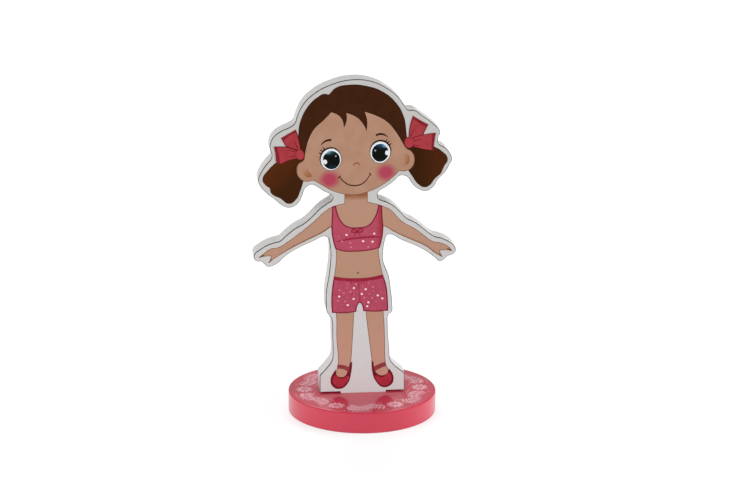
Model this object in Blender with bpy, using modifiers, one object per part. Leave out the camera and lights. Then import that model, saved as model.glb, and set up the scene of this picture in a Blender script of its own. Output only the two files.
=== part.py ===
"""Magnetic dress-up doll: a flat cut-out figure that stands in a slotted round base.

The figure is a laminate of three layers with one cut outline: a thick white board, a thin
iron-filled sheet that the magnetic clothes cling to, and the printed face sheet. A tenon under
its foot plate drops into a slot in the turned base, and the figure lifts straight out of it.

Units are metres, +Z is up, the figure faces -Y, and the origin is the middle of the base's
underside.
"""

import math

import bmesh
import bpy

# Base
BASE_DIAMETER = 0.0750
BASE_HEIGHT = 0.0110
BASE_EDGE_RADIUS = 0.0008

# Figure, from the underside of its foot plate to the crown and from fingertip to fingertip
FIGURE_HEIGHT = 0.1617
FIGURE_SPAN = 0.1014

# Layers of the figure, back to front
BOARD_THICKNESS = 0.0110
IRON_SHEET_THICKNESS = 0.0005
PRINT_SHEET_THICKNESS = 0.0003
GLUE_LINE = 0.0001
PRINT_SETBACK = 0.0003

# Foot plate and tenon, each side measured from the tenon's centre line
FOOT_PLATE_LEFT = 0.0221
FOOT_PLATE_RIGHT = 0.0210
FOOT_PLATE_SIDE = 0.0090
TENON_WIDTH = 0.0236
TENON_DEPTH = 0.0060

# Fits
SLOT_CLEARANCE = 0.0003
SHOULDER_GAP = 0.0005

# Smoothness
BASE_SEGMENTS = 96
EDGE_SEGMENTS = 4
OUTLINE_STEPS = 4

# Worked out from the sizes above
STACK_THICKNESS = BOARD_THICKNESS + IRON_SHEET_THICKNESS + PRINT_SHEET_THICKNESS + 2 * GLUE_LINE

# The cut outline above the foot plate as it is drawn, clockwise from the left foot to the right
# foot, in millimetres from the tenon's centre line and above the foot plate's underside. The
# drawing is then set to FIGURE_SPAN and FIGURE_HEIGHT.
LEFT_LEG = [
    (-18.5, 13.0), (-15.9, 17.0), (-15.5, 20.0), (-15.7, 29.0), (-15.9, 36.5), (-16.3, 39.0),
]
LEFT_HIP = [
    (-18.5, 42.5), (-19.0, 47.0), (-18.9, 53.5), (-17.7, 61.0), (-16.7, 70.5),
    (-16.7, 74.5), (-17.3, 79.0), (-18.2, 81.4), (-20.2, 82.1),
]
LEFT_ARM_UNDERSIDE = [(-25.0, 80.0), (-35.0, 75.3), (-40.0, 71.9)]
LEFT_HAND = [
    (-43.2, 68.8), (-45.5, 67.6), (-48.0, 67.0), (-49.8, 68.4), (-51.2, 69.8), (-53.7, 70.1),
    (-55.1, 71.8), (-54.6, 74.0), (-52.4, 75.8), (-48.5, 78.2), (-45.0, 79.4),
]
LEFT_ARM_TOP = [
    (-42.0, 80.2), (-40.0, 82.0), (-34.9, 86.2), (-30.0, 89.0), (-26.5, 92.0),
    (-22.0, 96.5), (-18.5, 99.0),
]
LEFT_NECK = [
    (-16.3, 100.5), (-15.7, 102.1), (-16.8, 103.6), (-20.0, 105.3), (-23.5, 107.7),
    (-26.0, 108.9), (-28.3, 108.1),
]
LEFT_PIGTAIL = [
    (-29.8, 106.6), (-31.0, 103.0), (-33.5, 99.0), (-37.5, 97.3), (-40.7, 98.5),
    (-45.0, 102.1), (-48.4, 104.8), (-52.4, 109.9), (-52.6, 112.5), (-51.0, 116.2),
    (-48.5, 119.8), (-46.2, 122.7),
]
LEFT_BOW = [
    (-46.0, 125.0), (-46.9, 128.0), (-46.4, 131.0), (-44.5, 134.1), (-41.0, 136.5),
    (-36.5, 138.6), (-34.5, 140.3),
]
CROWN = [
    (-33.6, 143.0), (-31.2, 148.5), (-26.3, 154.0), (-17.0, 159.2), (-5.5, 161.7),
    (4.5, 160.3), (11.5, 156.7), (17.4, 151.6), (20.1, 147.5),
]
RIGHT_BOW = [
    (21.6, 145.9), (24.6, 145.7), (28.6, 142.9), (35.0, 138.0), (37.6, 134.7), (36.6, 130.7),
]
RIGHT_PIGTAIL = [
    (37.0, 128.3), (40.0, 126.5), (42.8, 123.3), (43.8, 120.5), (42.5, 117.5), (40.3, 113.7),
    (36.6, 109.8), (34.7, 106.5), (31.0, 104.3), (26.6, 105.8), (23.7, 108.6), (21.9, 111.4),
]
RIGHT_NECK = [
    (20.2, 112.4), (17.9, 112.5), (14.6, 109.6), (9.8, 106.2), (7.3, 104.7), (6.6, 102.5),
    (7.5, 100.7),
]
RIGHT_ARM_TOP = [
    (11.0, 99.2), (15.2, 96.7), (18.7, 93.3), (21.1, 90.7), (26.2, 87.9), (32.2, 83.0),
    (35.1, 80.9),
]
RIGHT_HAND = [
    (39.5, 79.5), (43.0, 77.8), (45.8, 75.3), (46.3, 72.9), (45.0, 71.2), (42.0, 70.1),
    (40.0, 68.2), (38.2, 67.7), (36.0, 69.5),
]
RIGHT_ARM_UNDERSIDE = [(32.0, 72.7), (26.5, 75.9), (18.3, 79.6), (13.5, 82.3)]
RIGHT_HIP = [
    (11.5, 81.9), (10.5, 79.5), (9.6, 73.0), (9.7, 68.5), (12.4, 61.2), (13.6, 53.5),
    (14.4, 45.5), (14.2, 41.8),
]
RIGHT_LEG = [(12.5, 40.3), (12.2, 35.5), (13.1, 21.5), (13.6, 16.5), (15.2, 14.1)]

DRAWN_OUTLINE = (
    LEFT_LEG + LEFT_HIP + LEFT_ARM_UNDERSIDE + LEFT_HAND + LEFT_ARM_TOP + LEFT_NECK
    + LEFT_PIGTAIL + LEFT_BOW + CROWN + RIGHT_BOW + RIGHT_PIGTAIL + RIGHT_NECK
    + RIGHT_ARM_TOP + RIGHT_HAND + RIGHT_ARM_UNDERSIDE + RIGHT_HIP + RIGHT_LEG
)


def clear_scene():
    """Remove every object, so that the model starts from nothing."""
    for obj in list(bpy.data.objects):
        bpy.data.objects.remove(obj, do_unlink=True)


def make_collection(name):
    """Return a new collection of this name, linked to the scene."""
    collection = bpy.data.collections.new(name)
    bpy.context.scene.collection.children.link(collection)
    return collection


def make_material(name, colour, roughness, metallic=0.0):
    """Return a Principled material in one linear colour."""
    material = bpy.data.materials.new(name)
    material.use_nodes = True
    shader = material.node_tree.nodes["Principled BSDF"]
    shader.inputs["Base Color"].default_value = (*colour, 1.0)
    shader.inputs["Roughness"].default_value = roughness
    shader.inputs["Metallic"].default_value = metallic
    return material


def figure_anchors():
    """Return the anchors of the whole cut outline as (x, z, is_corner), in metres.

    The foot plate and its tenon come from their own sizes. The drawn outline is set to the
    figure's span and height.
    """
    drawn_span = max(x for x, _ in DRAWN_OUTLINE) - min(x for x, _ in DRAWN_OUTLINE)
    drawn_height = max(z for _, z in DRAWN_OUTLINE)
    across = FIGURE_SPAN / drawn_span
    upward = FIGURE_HEIGHT / drawn_height
    half_tenon = TENON_WIDTH / 2
    left_foot = [
        (-half_tenon, -TENON_DEPTH, True),
        (-half_tenon, 0.0, True),
        (-FOOT_PLATE_LEFT, 0.0, True),
        (-FOOT_PLATE_LEFT, FOOT_PLATE_SIDE, True),
    ]
    right_foot = [
        (FOOT_PLATE_RIGHT, FOOT_PLATE_SIDE, True),
        (FOOT_PLATE_RIGHT, 0.0, True),
        (half_tenon, 0.0, True),
        (half_tenon, -TENON_DEPTH, True),
    ]
    body = [(x * across, z * upward, False) for x, z in DRAWN_OUTLINE]
    return left_foot + body + right_foot


def make_layer(name, thickness, front, setback, material, parent, collection):
    """Make one layer of the figure: the cut outline, filled and given a thickness.

    The outline is drawn in the layer's own XY plane, which is turned to stand upright, so its
    own Z runs to the front. front is how far the layer's front face lies from the figure's
    middle, and setback draws the edge in from the cut outline.
    """
    curve = bpy.data.curves.new(name, "CURVE")
    curve.dimensions = "2D"
    curve.fill_mode = "BOTH"
    curve.resolution_u = OUTLINE_STEPS
    curve.extrude = thickness / 2
    curve.offset = -setback
    spline = curve.splines.new("BEZIER")
    anchors = figure_anchors()
    spline.bezier_points.add(len(anchors) - 1)
    for point, (x, z, is_corner) in zip(spline.bezier_points, anchors):
        point.co = (x, z, 0.0)
        kind = "VECTOR" if is_corner else "AUTO"
        point.handle_left_type = kind
        point.handle_right_type = kind
    spline.use_cyclic_u = True
    layer = bpy.data.objects.new(name, curve)
    layer.parent = parent
    layer.rotation_euler = (math.pi / 2, 0.0, 0.0)
    layer.location = (0.0, -(front - thickness / 2), 0.0)
    curve.materials.append(material)
    collection.objects.link(layer)
    return layer


def make_figure(collection):
    """Make the three layers under an empty on the line that the figure lifts along."""
    lift = bpy.data.objects.new("figure_lift", None)
    lift.empty_display_size = TENON_WIDTH / 2
    lift.location = (0.0, 0.0, BASE_HEIGHT + SHOULDER_GAP)
    collection.objects.link(lift)

    print_front = STACK_THICKNESS / 2
    iron_front = print_front - PRINT_SHEET_THICKNESS - GLUE_LINE
    board_front = iron_front - IRON_SHEET_THICKNESS - GLUE_LINE
    white_lacquer = make_material("white_lacquer", (0.80, 0.79, 0.80), 0.35)
    iron_rubber = make_material("iron_rubber", (0.035, 0.035, 0.037), 0.60)
    white_print = make_material("white_print", (0.78, 0.76, 0.76), 0.30)
    make_layer("figure_board", BOARD_THICKNESS, board_front, 0.0, white_lacquer, lift, collection)
    make_layer("iron_sheet", IRON_SHEET_THICKNESS, iron_front, 0.0, iron_rubber, lift, collection)
    make_layer(
        "printed_face", PRINT_SHEET_THICKNESS, print_front, PRINT_SETBACK, white_print, lift, collection
    )


def base_profile():
    """Return the base's half section as (radius, height) from the top's middle to the bottom's."""
    radius = BASE_DIAMETER / 2
    inner = radius - BASE_EDGE_RADIUS
    quarter = [math.pi / 2 * step / EDGE_SEGMENTS for step in range(EDGE_SEGMENTS + 1)]
    top_edge = [
        (inner + BASE_EDGE_RADIUS * math.sin(angle),
         BASE_HEIGHT - BASE_EDGE_RADIUS * (1 - math.cos(angle)))
        for angle in quarter
    ]
    bottom_edge = [(across, BASE_HEIGHT - up) for across, up in reversed(top_edge)]
    return [(0.0, BASE_HEIGHT)] + top_edge + bottom_edge + [(0.0, 0.0)]


def make_slot_cutter(collection):
    """Make the box that cuts the tenon's slot, clear of the tenon on every side."""
    floor = BASE_HEIGHT + SHOULDER_GAP - TENON_DEPTH - SLOT_CLEARANCE
    ceiling = 2 * BASE_HEIGHT
    mesh = bpy.data.meshes.new("slot_cutter")
    shape = bmesh.new()
    bmesh.ops.create_cube(shape, size=1.0)
    size = (
        TENON_WIDTH + 2 * SLOT_CLEARANCE,
        STACK_THICKNESS + 2 * SLOT_CLEARANCE,
        ceiling - floor,
    )
    bmesh.ops.scale(shape, vec=size, verts=shape.verts)
    bmesh.ops.translate(shape, vec=(0.0, 0.0, (ceiling + floor) / 2), verts=shape.verts)
    shape.to_mesh(mesh)
    shape.free()
    cutter = bpy.data.objects.new("slot_cutter", mesh)
    cutter.hide_render = True
    cutter.display_type = "WIRE"
    collection.objects.link(cutter)
    return cutter


def make_base(collection, cutters):
    """Turn the base from its half section and cut the slot in its top."""
    mesh = bpy.data.meshes.new("base_disc")
    section = bmesh.new()
    points = [section.verts.new((across, 0.0, up)) for across, up in base_profile()]
    for upper, lower in zip(points, points[1:]):
        section.edges.new((upper, lower))
    section.to_mesh(mesh)
    section.free()
    base = bpy.data.objects.new("base_disc", mesh)
    collection.objects.link(base)
    mesh.materials.append(make_material("pink_lacquer", (0.58, 0.055, 0.095), 0.12))

    turn = base.modifiers.new("turn", "SCREW")
    turn.axis = "Z"
    turn.angle = 2 * math.pi
    turn.steps = BASE_SEGMENTS
    turn.render_steps = BASE_SEGMENTS
    turn.use_merge_vertices = True
    turn.merge_threshold = 0.00001
    turn.use_smooth_shade = True

    slot = base.modifiers.new("slot", "BOOLEAN")
    slot.operation = "DIFFERENCE"
    slot.solver = "EXACT"
    slot.object = make_slot_cutter(cutters)
    return base


def main():
    """Build the doll."""
    clear_scene()
    parts = make_collection("magnetic_dress_up_doll")
    cutters = make_collection("cutters")
    make_base(parts, cutters)
    make_figure(parts)


main()
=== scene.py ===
"""Dressed scene of the magnetic dress-up doll standing in its round base.

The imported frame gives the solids. This file puts the finishes on them, rounds the edges that a
hand would feel, lays the printed figure on the face sheet as thin patches of ink, prints the
wreath on the base, and sets up the studio.

Drawn sizes are in millimetres in the frame's own axes: x to the right of someone who looks at the
face, z up from the table. They become metres where a piece is placed.
"""

import logging
import math
from dataclasses import dataclass
from enum import Enum

import bmesh
import bpy
from bmesh.types import BMEdge, BMesh, BMFace, BMVert
from bpy.types import Curve, Material, Mesh, Node, NodeSocket, NodeTree, Object, Scene
from mathutils import Matrix, Vector


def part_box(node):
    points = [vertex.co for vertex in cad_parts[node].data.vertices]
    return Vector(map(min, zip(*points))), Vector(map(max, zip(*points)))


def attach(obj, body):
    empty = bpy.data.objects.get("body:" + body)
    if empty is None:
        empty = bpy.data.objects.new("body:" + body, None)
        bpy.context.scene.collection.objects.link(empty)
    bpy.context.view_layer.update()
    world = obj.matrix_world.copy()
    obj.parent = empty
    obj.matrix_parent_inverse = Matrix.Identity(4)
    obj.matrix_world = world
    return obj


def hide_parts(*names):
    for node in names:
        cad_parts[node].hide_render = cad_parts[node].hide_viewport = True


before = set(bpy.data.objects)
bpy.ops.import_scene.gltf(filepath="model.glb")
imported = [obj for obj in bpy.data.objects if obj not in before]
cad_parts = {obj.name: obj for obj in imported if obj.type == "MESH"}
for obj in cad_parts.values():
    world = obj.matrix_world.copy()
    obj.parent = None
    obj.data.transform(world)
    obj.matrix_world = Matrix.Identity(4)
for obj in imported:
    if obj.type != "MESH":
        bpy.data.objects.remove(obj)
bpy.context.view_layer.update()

MM = 0.001
log = logging.getLogger("doll")

UPRIGHT = Vector((0.0, 0.0, 1.0))
THROUGH = Vector((0.0, 1.0, 0.0))
# What the camera and the lights look at, about the doll's middle
MIDDLE = Vector((0.0, 0.0, 80.0))
# How near, in metres, two places count as one
NEAR = 1e-6

# Socket numbers of a colour Mix node
MIX_A = 6
MIX_B = 7


class Turn(Enum):
    """How an outline passes through one of its points."""

    SMOOTH = "AUTO"
    SHARP = "VECTOR"


SHARP = Turn.SHARP
Point = tuple[float, float] | tuple[float, float, Turn]
Outline = tuple[Point, ...]
PenPath = tuple[tuple[float, float, float], ...]


class Body(Enum):
    """The two bodies of the frame that a piece can ride on."""

    BASE = "base"
    FIGURE = "figure"


class Slot(Enum):
    """The record's finishes by name; no piece in this script takes its finish from them."""

    PINK_LACQUER = "pink_lacquer"
    WHITE_LACQUER = "white_lacquer"
    WHITE_PRINT = "white_print"


def linear(colour: str) -> tuple[float, float, float, float]:
    """Turn an sRGB hex value into the linear colour that a shader reads.

    Args:
        colour: the colour as #RRGGBB.

    Returns:
        Linear red, green, blue and an alpha of 1.
    """
    channels = [int(colour[start:start + 2], 16) / 255 for start in (1, 3, 5)]
    red, green, blue = (
        value / 12.92 if value <= 0.04045 else ((value + 0.055) / 1.055) ** 2.4 for value in channels
    )
    return red, green, blue, 1.0


def add_node(tree: NodeTree, kind: str, inputs: dict, **settings: object) -> Node:
    """Add one node with its settings and links.

    Args:
        tree: the node tree of a material or of the world.
        kind: the node's type name without its ShaderNode.
        inputs: socket name or number to a plain value, to the output socket that feeds it, or to
            the node whose first output in use feeds it.
        settings: attributes of the node, such as its operation.

    Returns:
        The new node.
    """
    node = tree.nodes.new(f"ShaderNode{kind}")
    for name, value in settings.items():
        setattr(node, name, value)
    for socket, value in inputs.items():
        if isinstance(value, Node):
            value = next(output for output in value.outputs if output.enabled)
        if isinstance(value, NodeSocket):
            tree.links.new(value, node.inputs[socket])
        else:
            node.inputs[socket].default_value = value
    return node


def start_material(name: str) -> tuple[Material, NodeTree, NodeSocket]:
    """Start an empty node material.

    Args:
        name: the material's name.

    Returns:
        The material, its node tree and the Object coordinates.
    """
    material = bpy.data.materials.new(name)
    material.use_nodes = True
    tree = material.node_tree
    tree.nodes.clear()
    return material, tree, add_node(tree, "TexCoord", {}).outputs["Object"]


def close_surface(
    tree: NodeTree, colour: Node, height: Node, relief: tuple[float, float], shine: dict[str, float]
) -> None:
    """Give a finish its relief, its shader and its output.

    Args:
        tree: the material's node tree.
        colour: the finished colour.
        height: the relief's pattern.
        relief: the relief's strength, and its depth in millimetres.
        shine: the shader's plain values by socket; the relief also reaches a coat that is among them.
    """
    strength, depth = relief
    bump = add_node(tree, "Bump", {"Height": height, "Strength": strength, "Distance": depth * MM})
    inputs = {"Base Color": colour, "Normal": bump, **shine}
    if "Coat Weight" in shine:
        inputs["Coat Normal"] = bump
    shader = add_node(tree, "BsdfPrincipled", inputs)
    add_node(tree, "OutputMaterial", {"Surface": shader})


def per_metre(size: float) -> float:
    """Return the texture scale whose features are about size millimetres across."""
    return 1.0 / (size * MM)


class Finish:
    """What every finish shares: its material is made on first use and then kept."""

    name: str

    def material(self) -> Material:
        """Return the finish's material."""
        return bpy.data.materials.get(self.name) or self.build()

    def build(self) -> Material:
        """Make the material, which each finish does in its own way.

        Returns:
            The new material.
        """
        raise NotImplementedError


@dataclass(frozen=True)
class Spot:
    """A soft round spot of colour, such as a blush: full in its heart, gone at its rim."""

    x: float
    z: float
    across: float
    upward: float
    colour: str
    strength: float
    heart: float = 0.3


@dataclass(frozen=True)
class Ink(Finish):
    """Offset ink on paper film under a clear laminate.

    The ink is even but not flat: it has soft patches a few millimetres wide, and the dots of its
    screen, drawn about three times coarser than a real screen so that they show at all. The
    laminate over it gives a satin gloss with a slight ripple.
    """

    name: str
    colour: str
    shade: str
    patch: float = 4.0
    screen: float = 0.45
    fade: tuple[tuple[float, float], tuple[float, float]] | None = None
    fade_breaks: float = 0.12
    spots: tuple[Spot, ...] = ()
    roughness: float = 0.42
    gloss: float = 0.03
    ripple: float = 2.5
    relief: tuple[float, float] = (0.05, 0.05)

    def build(self) -> Material:
        """Make the material.

        Returns:
            The new material.
        """
        material, tree, place = start_material(self.name)
        patches = add_node(
            tree, "TexNoise", {"Vector": place, "Scale": per_metre(self.patch), "Detail": 2.0}
        )
        amount = add_node(
            tree, "MapRange", {"Value": patches, "From Min": 0.35, "From Max": 0.65},
            interpolation_type="SMOOTHSTEP",
        )
        if self.fade:
            amount = self.add_fade(tree, place, amount)
        ink = add_node(
            tree, "Mix", {"Factor": amount, MIX_A: linear(self.colour), MIX_B: linear(self.shade)},
            data_type="RGBA",
        )
        for spot in self.spots:
            ink = self.add_spot(tree, place, ink, spot)
        dots = add_node(
            tree, "TexVoronoi", {"Vector": place, "Scale": per_metre(self.screen), "Randomness": 0.3}
        )
        screen = add_node(
            tree, "MapRange",
            {"Value": dots, "From Min": 0.2, "From Max": 0.7, "To Min": 1.02, "To Max": 0.96},
        )
        screened = add_node(
            tree, "Mix", {"Factor": 1.0, MIX_A: ink, MIX_B: screen},
            data_type="RGBA", blend_type="MULTIPLY",
        )
        waves = add_node(
            tree, "TexNoise", {"Vector": place, "Scale": per_metre(self.ripple), "Detail": 1.0}
        )
        close_surface(
            tree, screened, waves, self.relief,
            {"Roughness": self.roughness, "IOR": 1.45, "Specular IOR Level": self.gloss},
        )
        return material

    def add_fade(self, tree: NodeTree, place: NodeSocket, patches: Node) -> Node:
        """Add a straight fade from the colour to the shade, broken up a little by the patches.

        Args:
            tree: the material's node tree.
            place: the Object coordinates.
            patches: the share of the shade that the soft patches give.

        Returns:
            The share of the shade.
        """
        start, end = (Vector((x, 0.0, z)) * MM for x, z in self.fade)
        run = end - start
        along = run / run.length_squared
        reach = add_node(tree, "VectorMath", {0: place, 1: along}, operation="DOT_PRODUCT")
        origin = start.dot(along)
        ramp = add_node(
            tree, "MapRange", {"Value": reach, "From Min": origin, "From Max": origin + 1.0},
            interpolation_type="SMOOTHSTEP",
        )
        return add_node(
            tree, "Math", {0: patches, 1: self.fade_breaks, 2: ramp},
            operation="MULTIPLY_ADD", use_clamp=True,
        )

    def add_spot(self, tree: NodeTree, place: NodeSocket, ink: Node, spot: Spot) -> Node:
        """Lay a soft round spot over the ink.

        Args:
            tree: the material's node tree.
            place: the Object coordinates.
            ink: the colour under the spot.
            spot: where the spot is and what it looks like.

        Returns:
            The colour with the spot on it.
        """
        centred = add_node(
            tree, "Mapping",
            {"Vector": place,
             "Location": (-spot.x / spot.across, 0.0, -spot.z / spot.upward),
             "Scale": (per_metre(spot.across), 0.0, per_metre(spot.upward))},
        )
        away = add_node(tree, "VectorMath", {0: centred}, operation="LENGTH")
        strength = add_node(
            tree, "MapRange",
            {"Value": away, "From Min": spot.heart, "From Max": 1.0,
             "To Min": spot.strength, "To Max": 0.0},
            interpolation_type="SMOOTHSTEP",
        )
        return add_node(
            tree, "Mix", {"Factor": strength, MIX_A: ink, MIX_B: linear(spot.colour)}, data_type="RGBA"
        )


@dataclass(frozen=True)
class GlossLacquer(Finish):
    """Sprayed polyurethane lacquer on turned wood.

    It is a deep, even colour under a clear gloss that mirrors the room more and more as the eye
    gets lower, with the faint orange peel that spraying leaves.
    """

    name: str
    colour: str
    shade: str
    cloud: float = 14.0
    peel: float = 2.2
    relief: tuple[float, float] = (0.05, 0.1)
    roughness: float = 0.42
    coat: float = 0.6
    coat_roughness: float = 0.08

    def build(self) -> Material:
        """Make the material.

        Returns:
            The new material.
        """
        material, tree, place = start_material(self.name)
        clouds = add_node(
            tree, "TexNoise", {"Vector": place, "Scale": per_metre(self.cloud), "Detail": 3.0}
        )
        paint = add_node(
            tree, "Mix", {"Factor": clouds, MIX_A: linear(self.colour), MIX_B: linear(self.shade)},
            data_type="RGBA",
        )
        peel = add_node(tree, "TexNoise", {"Vector": place, "Scale": per_metre(self.peel), "Detail": 1.0})
        close_surface(
            tree, paint, peel, self.relief,
            {"Roughness": self.roughness, "IOR": 1.5, "Specular IOR Level": 0.5,
             "Coat Weight": self.coat, "Coat Roughness": self.coat_roughness, "Coat IOR": 1.5},
        )
        return material


@dataclass(frozen=True)
class EdgeLacquer(Finish):
    """Satin white lacquer on routed fibreboard.

    The cut edge keeps the faint chatter that the router leaves across the board's thickness, and
    the white goes slightly grey where the fibres drank the paint.
    """

    name: str = "satin_lacquer_on_fibreboard"
    colour: str = "#CBCAC8"
    shade: str = "#C2C1BF"
    chatter: float = 0.9
    chatter_squeeze: float = 0.06
    soak: float = 9.0
    relief: tuple[float, float] = (0.12, 0.08)
    roughness: float = 0.46

    def build(self) -> Material:
        """Make the material.

        Returns:
            The new material.
        """
        material, tree, place = start_material(self.name)
        stretched = add_node(
            tree, "Mapping", {"Vector": place, "Scale": (1.0, self.chatter_squeeze, 1.0)}
        )
        chatter = add_node(
            tree, "TexNoise", {"Vector": stretched, "Scale": per_metre(self.chatter), "Detail": 2.0}
        )
        soak = add_node(tree, "TexNoise", {"Vector": place, "Scale": per_metre(self.soak), "Detail": 4.0})
        share = add_node(tree, "Math", {0: chatter, 1: soak}, operation="MULTIPLY")
        amount = add_node(tree, "MapRange", {"Value": share, "From Min": 0.12, "From Max": 0.4})
        paint = add_node(
            tree, "Mix", {"Factor": amount, MIX_A: linear(self.shade), MIX_B: linear(self.colour)},
            data_type="RGBA",
        )
        close_surface(
            tree, paint, chatter, self.relief,
            {"Roughness": self.roughness, "IOR": 1.48, "Specular IOR Level": 0.25},
        )
        return material


@dataclass(frozen=True)
class IronRubber(Finish):
    """Iron-filled rubber sheet with a die-cut edge.

    It is a dull charcoal with grains of iron powder that catch a little more light.
    """

    name: str = "iron_filled_rubber_sheet"
    colour: str = "#2B2B2D"
    grain_colour: str = "#4A4A4C"
    grain: float = 0.25
    relief: tuple[float, float] = (0.2, 0.05)
    roughness: float = 0.68

    def build(self) -> Material:
        """Make the material.

        Returns:
            The new material.
        """
        material, tree, place = start_material(self.name)
        grains = add_node(tree, "TexVoronoi", {"Vector": place, "Scale": per_metre(self.grain)})
        share = add_node(tree, "MapRange", {"Value": grains, "From Min": 0.15, "From Max": 0.45})
        rubber = add_node(
            tree, "Mix", {"Factor": share, MIX_A: linear(self.grain_colour), MIX_B: linear(self.colour)},
            data_type="RGBA",
        )
        close_surface(tree, rubber, grains, self.relief, {"Roughness": self.roughness, "IOR": 1.5})
        return material


def seen_directly(tree: NodeTree) -> Node:
    """Add the test for rays that show a background: from the camera, a gloss or a clear piece.

    Args:
        tree: the node tree of the floor's material or of the world.

    Returns:
        1 for such a ray, 0 for a ray that lights the object.
    """
    path = add_node(tree, "LightPath", {}).outputs
    seen = path["Is Camera Ray"]
    for other in ("Is Glossy Ray", "Is Transmission Ray"):
        seen = add_node(tree, "Math", {0: seen, 1: path[other]}, operation="MAXIMUM")
    return seen


@dataclass(frozen=True)
class StudioPaper(Finish):
    """Matte white background paper.

    It keeps the object's shadow, and goes to plain white away from it.
    """

    name: str = "matte_background_paper"
    colour: str = "#A6A6A6"
    fibre_colour: str = "#ABABAB"
    fibre: float = 1.5
    near: float = 400.0
    far: float = 1100.0
    near_glow: float = 0.66
    far_glow: float = 1.0

    def build(self) -> Material:
        """Make the material.

        Returns:
            The new material.
        """
        material, tree, place = start_material(self.name)
        fibres = add_node(
            tree, "TexNoise", {"Vector": place, "Scale": per_metre(self.fibre), "Detail": 3.0}
        )
        paper = add_node(
            tree, "Mix", {"Factor": fibres, MIX_A: linear(self.colour), MIX_B: linear(self.fibre_colour)},
            data_type="RGBA",
        )
        matte = add_node(tree, "BsdfDiffuse", {"Color": paper})
        reach = add_node(tree, "VectorMath", {0: place}, operation="LENGTH")
        sweep = add_node(
            tree, "MapRange",
            {"Value": reach, "From Min": self.near * MM, "From Max": self.far * MM,
             "To Min": self.near_glow, "To Max": self.far_glow},
        )
        strength = add_node(tree, "Math", {0: seen_directly(tree), 1: sweep}, operation="MULTIPLY")
        glow = add_node(tree, "Emission", {"Strength": strength})
        both = add_node(tree, "AddShader", {0: matte, 1: glow})
        add_node(tree, "OutputMaterial", {"Surface": both})
        return material


def place_piece(name: str, mesh: Mesh, material: Material, body: Body) -> Object:
    """Put a finished mesh in the scene as a piece of the object.

    Args:
        name: the piece's name.
        mesh: its mesh, in metres, already in its place.
        material: its finish.
        body: the body that it moves with.

    Returns:
        The new object.
    """
    mesh.name = name
    mesh.materials.clear()
    mesh.materials.append(material)
    piece = bpy.data.objects.new(name, mesh)
    bpy.context.scene.collection.objects.link(piece)
    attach(piece, body.value)
    log.info("%s: %d faces, rides on %s", name, len(mesh.polygons), body.value)
    return piece


def finished_mesh(shape: BMesh, name: str) -> Mesh:
    """Make a modelled shape a mesh.

    Args:
        shape: the shape, which is used up.
        name: the mesh's name.

    Returns:
        The mesh.
    """
    mesh = bpy.data.meshes.new(name)
    shape.to_mesh(mesh)
    shape.free()
    return mesh


def corners_of(geometry: list) -> list[BMVert]:
    """Return the corners among an operator's new geometry."""
    return [item for item in geometry if isinstance(item, BMVert)]


def round_edges(shape: BMesh, edges: list[BMEdge], radius: float, segments: int) -> None:
    """Round edges.

    Args:
        shape: the mesh.
        edges: the edges.
        radius: how far the rounding reaches, in millimetres.
        segments: the rounding's segments.
    """
    bmesh.ops.bevel(
        shape, geom=edges, offset=radius * MM, offset_type="OFFSET", affect="EDGES",
        segments=segments, profile=0.5, material=-1, clamp_overlap=True,
    )


def hold_loops(shape: BMesh, axis: Vector, places: tuple[float, ...]) -> None:
    """Cut loops beside the eased edges, so that the broad walls between them keep an even shading.

    Args:
        shape: the mesh.
        axis: the direction across the loops.
        places: where along the axis the loops lie, in metres.
    """
    for place in places:
        bmesh.ops.bisect_plane(
            shape, geom=[*shape.verts, *shape.edges, *shape.faces], dist=NEAR,
            plane_co=axis * place, plane_no=axis,
        )


def round_shading(mesh: Mesh, sharp_angle: float, axis: Vector) -> None:
    """Shade a mesh round, apart from its sharp edges and the flat faces that look along an axis.

    Args:
        mesh: the mesh.
        sharp_angle: the turn in degrees past which an edge is sharp.
        axis: the direction that the flat faces look along.
    """
    square_to_axis = 0.9999
    mesh.shade_smooth()
    mesh.set_sharp_from_angle(angle=math.radians(sharp_angle))
    for face in mesh.polygons:
        face.use_smooth = abs(face.normal.dot(axis)) < square_to_axis


def direction(azimuth: float, elevation: float) -> Vector:
    """Return the direction to a place round the doll.

    Args:
        azimuth: degrees from the doll's front toward the right of someone who looks at its face.
        elevation: degrees above the table.

    Returns:
        A vector of length 1.
    """
    turn = math.radians(azimuth)
    rise = math.radians(elevation)
    return Vector((math.sin(turn) * math.cos(rise), -math.cos(turn) * math.cos(rise), math.sin(rise)))


@dataclass
class Camera:
    """The camera of the photograph, from how its picture of the base and the board fits."""

    azimuth: float = -6.28
    elevation: float = 16.41
    distance: float = 1314.0
    pan: float = 0.0047
    tilt: float = 0.0032
    roll: float = 0.0064
    focal_pixels: float = 2615.0
    picture_width: float = 750.0
    sensor: float = 36.0
    nearest: float = 50.0
    farthest: float = 20000.0

    def build(self) -> Object:
        """Make the camera and set it as the scene's own.

        Returns:
            The camera object.
        """
        back = direction(self.azimuth, self.elevation)
        right = (-back).cross(UPRIGHT).normalized()
        up = right.cross(-back)
        ahead = (-back + self.pan * right + self.tilt * up).normalized()
        right = ahead.cross(UPRIGHT).normalized()
        turn = Matrix((right, right.cross(ahead), -ahead)).transposed().to_4x4()
        place = Matrix.Translation((MIDDLE + self.distance * back) * MM)
        lens = bpy.data.cameras.new("photo_camera")
        lens.sensor_fit = "HORIZONTAL"
        lens.sensor_width = self.sensor
        lens.lens = self.sensor * self.focal_pixels / self.picture_width
        lens.clip_start = self.nearest * MM
        lens.clip_end = self.farthest * MM
        camera = bpy.data.objects.new("photo_camera", lens)
        camera.matrix_world = place @ turn @ Matrix.Rotation(self.roll, 4, "Z")
        bpy.context.scene.collection.objects.link(camera)
        bpy.context.scene.camera = camera
        return camera


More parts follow.
